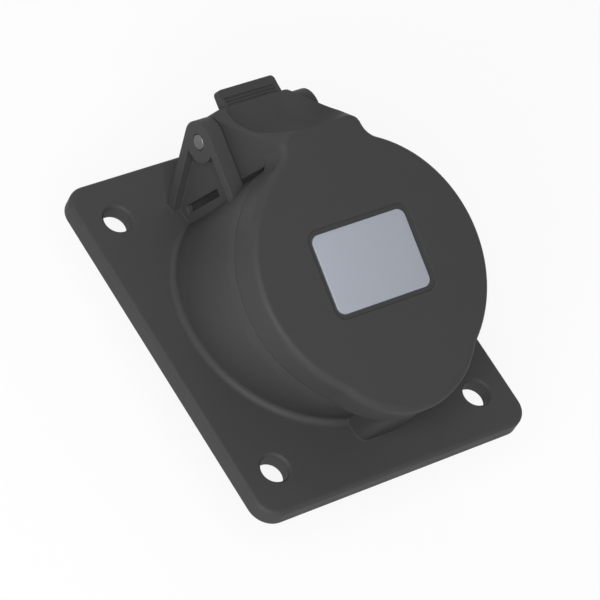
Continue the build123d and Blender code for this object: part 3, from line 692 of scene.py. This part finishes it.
def thread_ridge(core, length, sizes):
    """The helical ridge of a thread: a three-sided tooth wound along Z by a Screw modifier."""
    tooth = sizes.depth * THREAD_FILL
    deselect()
    bpy.ops.mesh.primitive_circle_add(vertices=3, radius=tooth, fill_type="NGON")
    ridge = bpy.context.object
    # The triangle stands in a plane through the axis, with one corner pointing out
    ridge.matrix_world = Matrix.Translation((core, 0, -length + tooth)) @ Matrix(
        ((0, 1, 0, 0), (0, 0, -1, 0), (-1, 0, 0, 0), (0, 0, 0, 1)))
    bpy.ops.object.transform_apply(location=True, rotation=True, scale=True)
    pick_faces(ridge, lambda face: True)
    bpy.ops.mesh.delete(type="ONLY_FACE")
    pick(ridge)
    wind = ridge.modifiers.new("thread", "SCREW")
    wind.axis = "Z"
    wind.screw_offset = sizes.pitch
    wind.iterations = int((length - 2 * tooth) / sizes.pitch)
    wind.steps = wind.render_steps = sizes.steps
    wind.use_smooth_shade = True
    bpy.ops.object.modifier_apply(modifier=wind.name)
    bpy.ops.object.mode_set(mode="EDIT")
    bpy.ops.mesh.select_all(action="SELECT")
    bpy.ops.mesh.fill_holes(sides=4)
    bpy.ops.mesh.normals_make_consistent(inside=False)
    bpy.ops.object.mode_set(mode="OBJECT")
    return ridge


def own_copy(piece, name):
    """A copy of a piece with a mesh of its own."""
    twin = piece.copy()
    twin.data = piece.data.copy()
    twin.name = name
    bpy.context.scene.collection.objects.link(twin)
    return twin


# Operators

class SOCKET_OT_housing(Operator):
    """Finish the housing in satin dark grey plastic"""

    bl_idname = "socket.housing"
    bl_label = "Housing"

    def execute(self, context):
        colour = tuple(context.scene.socket_plastics.housing_colour)
        dress("housing", plastic("housing plastic", colour, ROUGHNESS["housing"]))
        return {"FINISHED"}


class SOCKET_OT_lid(Operator):
    """Finish the sprung lid in satin dark grey plastic"""

    bl_idname = "socket.lid"
    bl_label = "Lid"

    def execute(self, context):
        colour = tuple(context.scene.socket_plastics.lid_colour)
        dress("lid", plastic("lid plastic", colour, ROUGHNESS["lid"]))
        return {"FINISHED"}


class SOCKET_OT_label(Operator):
    """Model the bare rating label in the lid's recess"""

    bl_idname = "socket.label"
    bl_label = "Label"

    def execute(self, context):
        sizes = context.scene.socket_label
        deselect()
        bpy.ops.mesh.primitive_cube_add(size=1)
        plate = context.object
        plate.name = "label_film"
        plate.scale = (sizes.width, sizes.height, sizes.thickness)
        bpy.ops.object.transform_apply(location=False, rotation=False, scale=True)
        top = sizes.thickness / 2
        pick_edges(plate, lambda a, b: abs(a.z - b.z) > top)
        bpy.ops.mesh.bevel(offset=sizes.corner, segments=8, affect="EDGES")
        pick_edges(plate, lambda a, b: min(a.z, b.z) > top - CLOSE)
        bpy.ops.mesh.bevel(offset=sizes.thickness * sizes.edge, segments=3, affect="EDGES")
        smooth(plate)
        low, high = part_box("label")
        set_down(plate, Matrix.Translation((low + high) / 2) @ Matrix.Rotation(LEAN, 4, "X"))
        coat(plate, film())
        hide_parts("label")
        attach(plate, "lid_body")
        return {"FINISHED"}


class SOCKET_OT_seals(Operator):
    """Finish the flange's and the lid's seals in black rubber"""

    bl_idname = "socket.seals"
    bl_label = "Seals"

    def execute(self, context):
        material = rubber()
        for node in ("flange_seal", "lid_seal"):
            dress(node, material)
        return {"FINISHED"}


class SOCKET_OT_hinge(Operator):
    """Finish the hinge pin and its spring in steel"""

    bl_idname = "socket.hinge"
    bl_label = "Hinge pin and spring"

    def execute(self, context):
        metals = context.scene.socket_metals
        low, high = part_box("hinge_pin")
        middle = (low + high) / 2
        dress("hinge_pin", metal(
            "pin steel", tuple(metals.pin_colour), middle, ALONG_PIN, ROUGHNESS["pin"], feed=0.0002))
        self.spring(metal(
            "spring wire", tuple(metals.spring_colour), middle, ALONG_PIN, ROUGHNESS["spring"]))
        return {"FINISHED"}

    def spring(self, steel):
        """The spring's wire, a copy of the frame's spring that stays where it is; the real wire winds
        up along the pin as the lid opens.
        """
        wire = own_copy(frame["nodes"]["lid_spring"], "spring_wire")
        pick(wire)
        bpy.ops.object.parent_clear(type="CLEAR_KEEP_TRANSFORM")
        bpy.ops.object.mode_set(mode="EDIT")
        bpy.ops.mesh.select_all(action="SELECT")
        bpy.ops.mesh.remove_doubles(threshold=CLOSE)
        bpy.ops.object.mode_set(mode="OBJECT")
        smooth(wire)
        coat(wire, steel)
        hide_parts("lid_spring")
        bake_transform(wire)


class SOCKET_OT_insulators(Operator):
    """Finish the nose, the block inside it and the terminal carrier in near black plastic"""

    bl_idname = "socket.insulators"
    bl_label = "Insulators"

    def execute(self, context):
        colour = tuple(context.scene.socket_plastics.insulator_colour)
        material = plastic("insulator plastic", colour, ROUGHNESS["insulator"])
        for node in ("contact_carrier", "contact_block", "terminal_carrier"):
            dress(node, material)
        return {"FINISHED"}


class SOCKET_OT_contacts(Operator):
    """Finish each contact sleeve in turned brass and its ring in spring steel"""

    bl_idname = "socket.contacts"
    bl_label = "Contacts"

    def execute(self, context):
        metals = context.scene.socket_metals
        for name in CONTACTS:
            low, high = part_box(f"contact_sleeve_{name}")
            middle = (low + high) / 2
            dress(f"contact_sleeve_{name}", metal(
                f"contact brass {name}", tuple(metals.contact_colour), middle, ALONG_SOCKET,
                ROUGHNESS["contact"], tarnish=0.72))
            dress(f"contact_ring_{name}", metal(
                f"ring steel {name}", tuple(metals.spring_colour), middle, ALONG_SOCKET,
                ROUGHNESS["ring"]))
        return {"FINISHED"}


class SOCKET_OT_screws(Operator):
    """Model the threaded terminal, carrier and centre screws"""

    bl_idname = "socket.screws"
    bl_label = "Screws"

    def execute(self, context):
        colour = tuple(context.scene.socket_metals.screw_colour)
        zinc = metal("plated screw steel", colour, (0, 0, 0), ALONG_SOCKET, ROUGHNESS["screw"])
        lean = socket_frame()
        self.terminal_screws(lean, CONTACTS[:1], EARTH_SCREW_OUT, EARTH_SCREW, zinc)
        self.terminal_screws(lean, CONTACTS[1:], LINE_SCREW_OUT, LINE_SCREW, zinc)
        blank = threaded_screw("carrier_screw", CARRIER_SCREW)
        for turn in CARRIER_SCREW_TURNS:
            x = CARRIER_SCREW_OUT * cos(radians(turn))
            y = CARRIER_SCREW_OUT * sin(radians(turn))
            place = lean @ Matrix.Translation((x, y, CARRIER_SCREW_DEPTH))
            self.fit(own_copy(blank, f"carrier_screw_threaded_{turn}"), place,
                     "carrier_screws", zinc)
        bpy.data.objects.remove(blank)
        centre = threaded_screw("centre_screw_threaded", CENTRE_SCREW)
        place = lean @ Matrix.Translation((0, 0, CENTRE_SCREW_DEPTH)) @ Matrix.Rotation(pi, 4, "X")
        self.fit(centre, place, "carrier_centre_screw", zinc)
        return {"FINISHED"}

    def terminal_screws(self, lean, names, out, size, zinc):
        """Like clamping screws of some contacts, each pointing in from its place round the axis."""
        blank = threaded_screw("terminal_screw", size)
        for name in names:
            turn = radians(EARTH_TURN + CONTACT_STEP * CONTACTS.index(name))
            place = lean @ Matrix.Rotation(turn, 4, "Z") @ Matrix.Translation(
                (out, 0, TERMINAL_SCREW_DEPTH)) @ Matrix.Rotation(pi / 2, 4, "Y")
            self.fit(own_copy(blank, f"terminal_screw_threaded_{name}"), place,
                     f"terminal_screw_{name}", zinc)
        bpy.data.objects.remove(blank)

    def fit(self, screw, place, node, zinc):
        """Sets one screw in the place of its node."""
        set_down(screw, place)
        coat(screw, zinc)
        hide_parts(node)
        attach(screw, "base")


class SOCKET_OT_stage(Operator):
    """Lay the floor and set the lamps, the sky and the camera"""

    bl_idname = "socket.stage"
    bl_label = "Stage"

    def execute(self, context):
        stage = context.scene.socket_stage
        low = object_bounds()[0]
        deselect()
        bpy.ops.mesh.primitive_plane_add(size=FLOOR_SIZE, location=(0, 0, low.z - FLOOR_GAP))
        floor = context.object
        floor.name = "floor"
        coat(floor, self.floor_paint(stage))
        floor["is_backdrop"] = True
        self.sky(context.scene, stage)
        for name, (place, width) in LAMPS.items():
            self.lamp(f"{name} lamp", place, width, getattr(stage, name))
        bpy.ops.object.camera_add(location=stage.camera_place, rotation=stage.camera_turn)
        camera = context.object
        camera.data.lens = stage.camera_lens
        camera.data.sensor_width = SENSOR_WIDTH
        camera.data.clip_start = CLIP_NEAR
        camera.data.clip_end = CLIP_FAR
        context.scene.camera = camera
        context.scene.view_settings.view_transform = "Standard"
        return {"FINISHED"}

    def seen(self, tree):
        """A value that is 1 for what the camera, mirrors and glass see, and 0 for light."""
        path = tree.nodes.new("ShaderNodeLightPath")
        direct = maths(
            tree, "MAXIMUM", path.outputs["Is Camera Ray"], path.outputs["Is Glossy Ray"])
        return maths(tree, "MAXIMUM", direct, path.outputs["Is Transmission Ray"])

    def floor_paint(self, stage):
        """Pale matt floor that keeps the shadow and reads white where nothing shades it."""
        material, tree, shader, mapping = blank_material("studio floor")
        colour = tuple(stage.floor_colour)
        darker = drifted(colour, FLOOR_DRIFT)[0]
        mottle = noise(tree, mapping.outputs[0], MOTTLE_SCALE, 3.0)
        tree.links.new(
            blend_colours(tree, mottle, darker, colour), shader.inputs["Base Color"])
        shader.inputs["Roughness"].default_value = 0.9
        shader.inputs["Specular IOR Level"].default_value = 0.1
        white = tree.nodes.new("ShaderNodeEmission")
        white.inputs["Strength"].default_value = 1.0
        mix = tree.nodes.new("ShaderNodeMixShader")
        tree.links.new(
            maths(tree, "MULTIPLY", self.seen(tree), stage.floor_glow), mix.inputs["Fac"])
        tree.links.new(shader.outputs[0], mix.inputs[1])
        tree.links.new(white.outputs[0], mix.inputs[2])
        tree.links.new(mix.outputs[0], tree.nodes["Material Output"].inputs["Surface"])
        return material

    def sky(self, scene, stage):
        """Even light from all round, white where the camera, metal or glass sees it."""
        world = bpy.data.worlds.new("studio sky")
        world.use_nodes = True
        scene.world = world
        tree = world.node_tree
        ground = tree.nodes["Background"]
        ground.inputs["Color"].default_value = (1, 1, 1, 1)
        strength = tree.nodes.new("ShaderNodeMapRange")
        strength.inputs["To Min"].default_value = stage.sky
        strength.inputs["To Max"].default_value = 1.0
        tree.links.new(self.seen(tree), strength.inputs["Value"])
        tree.links.new(strength.outputs["Result"], ground.inputs["Strength"])

    def lamp(self, name, place, width, power):
        """A large soft lamp aimed at the socket."""
        aim = (-Vector(place)).to_track_quat("-Z", "Y").to_euler()
        bpy.ops.object.light_add(type="AREA", location=place, rotation=aim)
        lamp = bpy.context.object
        lamp.name = name
        lamp.data.shape = "DISK"
        lamp.data.size = width
        lamp.data.energy = power


STEPS = (
    SOCKET_OT_housing, SOCKET_OT_lid, SOCKET_OT_label, SOCKET_OT_seals, SOCKET_OT_hinge,
    SOCKET_OT_insulators, SOCKET_OT_contacts, SOCKET_OT_screws, SOCKET_OT_stage)

GROUPS = {
    "socket_plastics": SocketPlastics,
    "socket_label": SocketLabel,
    "socket_metals": SocketMetals,
    "socket_screws": SocketScrews,
    "socket_stage": SocketStage,
}


class VIEW3D_PT_panel_socket(Panel):
    """Sizes, colours and steps of the panel socket"""

    bl_label = "Panel Socket"
    bl_space_type = "VIEW_3D"
    bl_region_type = "UI"
    bl_category = "Panel Socket"

    def draw(self, context):
        layout = self.layout
        for name in GROUPS:
            box = layout.box()
            box.label(text=name.replace("socket_", "").capitalize())
            settings = getattr(context.scene, name)
            for key in settings.bl_rna.properties.keys():
                if key not in ("rna_type", "name"):
                    box.prop(settings, key)
        for step in STEPS:
            layout.operator(step.bl_idname)


def register():
    """Registers the settings, the operators and the panel."""
    for name, group in GROUPS.items():
        bpy.utils.register_class(group)
        setattr(bpy.types.Scene, name, PointerProperty(type=group))
    for step in (*STEPS, VIEW3D_PT_panel_socket):
        bpy.utils.register_class(step)


def unregister():
    """Takes the panel, the operators and the settings away again."""
    for step in (VIEW3D_PT_panel_socket, *reversed(STEPS)):
        bpy.utils.unregister_class(step)
    for name, group in GROUPS.items():
        delattr(bpy.types.Scene, name)
        bpy.utils.unregister_class(group)


def main():
    """Finishes every piece in order."""
    register()
    bpy.ops.socket.housing()
    bpy.ops.socket.lid()
    bpy.ops.socket.label()
    bpy.ops.socket.seals()
    bpy.ops.socket.hinge()
    bpy.ops.socket.insulators()
    bpy.ops.socket.contacts()
    bpy.ops.socket.screws()
    bpy.ops.socket.stage()


if __name__ == "__main__":
    main()
